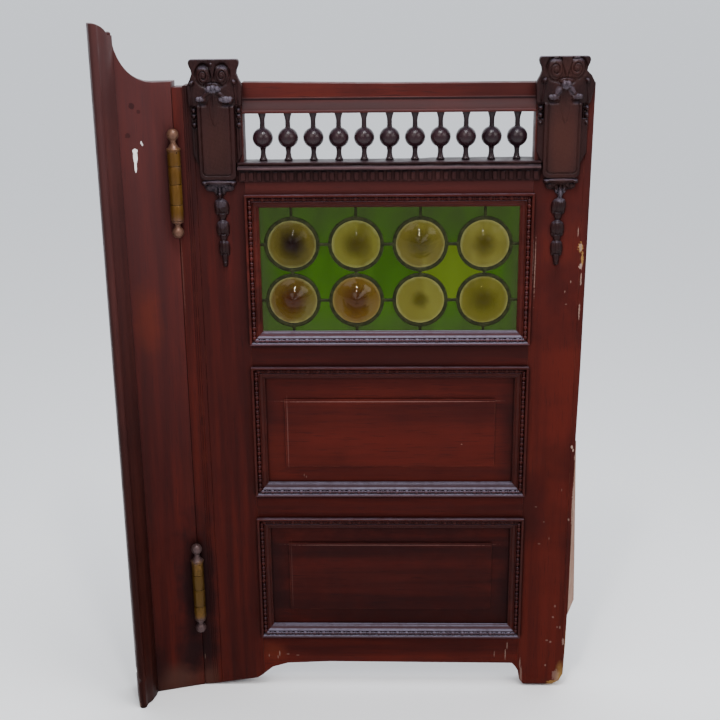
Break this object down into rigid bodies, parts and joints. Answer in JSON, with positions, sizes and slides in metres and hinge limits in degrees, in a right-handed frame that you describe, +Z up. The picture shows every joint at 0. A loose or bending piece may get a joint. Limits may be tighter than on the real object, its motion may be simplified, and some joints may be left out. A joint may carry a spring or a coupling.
{
  "type": "stained glass saloon door",
  "caption": "Carved mahogany saloon door with a leaded glass light and a spindle gallery, on double-acting ball-tipped brass hinges from a wing board.",
  "frame": {"origin": "on the back face of the wing board, near its middle, where it is fixed to the wall or post", "axes": "+Z up, +X across the leaf from the hinges to the closing edge, +Y from the leaf's front face to its back"},
  "size_m": [0.9394, 0.164, 1.395],
  "materials": {
    "mahogany": "aged semi-gloss varnish, scuffed at the edges and feet",
    "carved_mahogany": "dark aged varnish with dirt in the hollows",
    "bare_wood": "raw and broken",
    "brass": "dull, tarnished, worn pale on the balls",
    "green_glass": "textured cathedral glass",
    "yellow_glass": "textured cathedral glass",
    "olive_glass": "spun, with rings round a knob",
    "lead": "dull grey lead"
  },
  "bodies": {
    "wing": {"lower_front_hinge_cap": "brass", "lower_front_hinge_tip": "brass", "lower_wing_hinge_leaf": "brass", "upper_front_hinge_cap": "brass", "upper_front_hinge_tip": "brass", "upper_wing_hinge_leaf": "brass", "wing_board": "mahogany", "wing_nosing": "mahogany"},
    "hinge_link": {"lower_hinge_web": "brass", "upper_hinge_web": "brass"},
    "leaf": {"bottom_rail": "mahogany", "closing_stile": "mahogany", "cross_rail": "mahogany", "fluted_strip": "carved_mahogany", "frieze_rail": "mahogany", "gallery_sill": "carved_mahogany", "glass_moulding": "carved_mahogany", "glass_stop": "mahogany", "green_glass": "green_glass", "hanging_strip": "mahogany", "hinge_stile": "mahogany", "lead_came": "lead", "left_capital": "carved_mahogany", "left_husk_drop": "carved_mahogany", "lower_door_hinge_leaf": "brass", "lower_panel": "mahogany", "lower_panel_moulding": "carved_mahogany", "lower_rear_hinge_cap": "brass", "lower_rear_hinge_tip": "brass", "middle_rail": "mahogany", "packing_strip": "bare_wood", "right_capital": "carved_mahogany", "right_husk_drop": "carved_mahogany", "roundel_1": "olive_glass", "roundel_2": "olive_glass", "roundel_3": "olive_glass", "roundel_4": "olive_glass", "roundel_5": "olive_glass", "roundel_6": "olive_glass", "roundel_7": "olive_glass", "roundel_8": "olive_glass", "spindle_1": "carved_mahogany", "spindle_10": "carved_mahogany", "spindle_11": "carved_mahogany", "spindle_2": "carved_mahogany", "spindle_3": "carved_mahogany", "spindle_4": "carved_mahogany", "spindle_5": "carved_mahogany", "spindle_6": "carved_mahogany", "spindle_7": "carved_mahogany", "spindle_8": "carved_mahogany", "spindle_9": "carved_mahogany", "top_rail": "mahogany", "upper_door_hinge_leaf": "brass", "upper_panel": "mahogany", "upper_panel_moulding": "carved_mahogany", "upper_rear_hinge_cap": "brass", "upper_rear_hinge_tip": "brass", "yellow_pane": "yellow_glass"}
  },
  "joints": [
    {"name": "front_barrel", "type": "hinge", "parent": "wing", "child": "hinge_link", "pos_m": [0.08331, -0.03309, 0], "axis": [0, 0, -1], "range_deg": [0, 85], "stiffness_Nm_per_rad": 3},
    {"name": "rear_barrel", "type": "hinge", "parent": "hinge_link", "child": "leaf", "pos_m": [0.08331, 0.03991, 0], "axis": [0, 0, 1], "range_deg": [0, 90], "stiffness_Nm_per_rad": 3}
  ]
}
